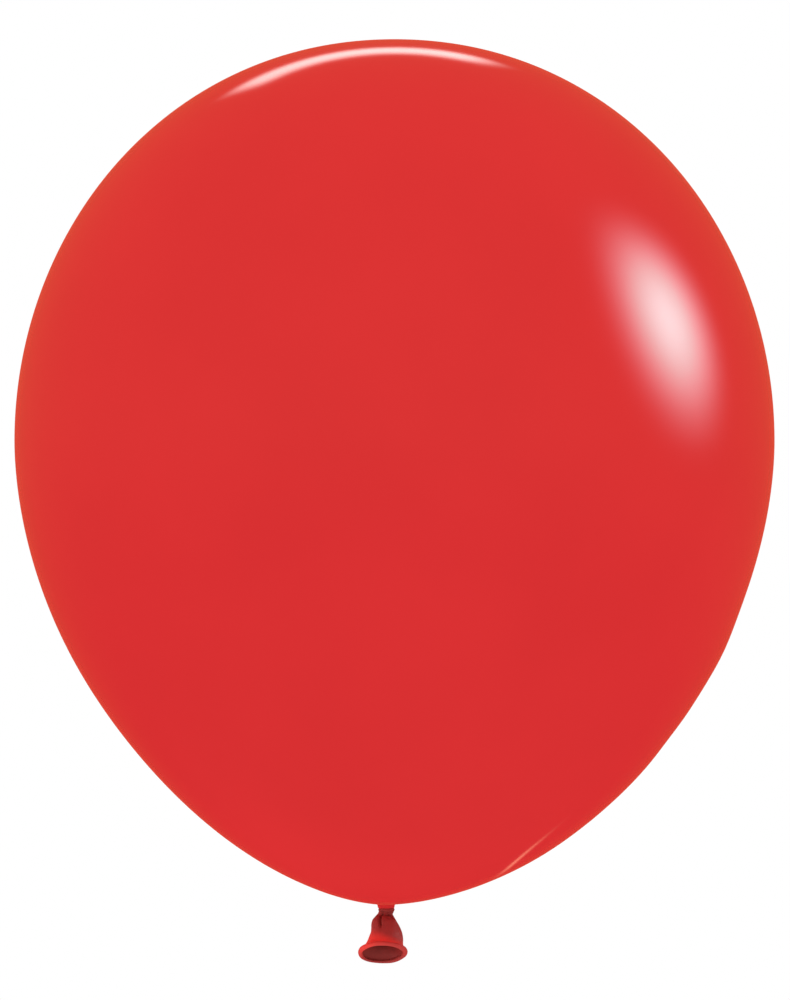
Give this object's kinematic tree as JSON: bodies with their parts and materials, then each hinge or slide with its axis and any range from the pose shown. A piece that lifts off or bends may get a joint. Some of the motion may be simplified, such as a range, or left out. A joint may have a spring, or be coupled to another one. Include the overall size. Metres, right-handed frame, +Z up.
{
  "type": "round latex balloon",
  "caption": "Inflated round latex party balloon, tied off with a knot in its neck, with an open flared tail and a rolled lip.",
  "frame": {"origin": "the tie point: the middle of the knot, on the axis of the neck", "axes": "+Z up from the knot to the crown, -Y the front that the tail's mouth turns towards, +X to the right seen from the front"},
  "size_m": [0.4571, 0.4572, 0.5567],
  "materials": {
    "stretched_latex": "gloss",
    "thick_latex": "satin",
    "tail_latex": "satin"
  },
  "bodies": {
    "balloon": {"envelope": "stretched_latex", "neck": "stretched_latex"},
    "knot": {"knot_loop": "thick_latex", "knot_stem": "thick_latex"},
    "throat": {"throat": "thick_latex"},
    "tail": {"tail": "tail_latex", "lip_bead": "tail_latex"}
  },
  "joints": [
    {"name": "knot_twist", "type": "hinge", "parent": "balloon", "child": "knot", "pos_m": [0, 0, 0], "axis": [0, 0, 1], "range_deg": [-90, 90], "stiffness_Nm_per_rad": 0.0005},
    {"name": "tail_sway", "type": "hinge", "parent": "knot", "child": "throat", "pos_m": [0, 0, -0.0034], "axis": [0, 1, 0], "range_deg": [-40, 40], "stiffness_Nm_per_rad": 0.0005},
    {"name": "tail_swing", "type": "hinge", "parent": "throat", "child": "tail", "pos_m": [0, 0, -0.0034], "axis": [1, 0, 0], "range_deg": [-22, 50], "stiffness_Nm_per_rad": 0.0005}
  ]
}
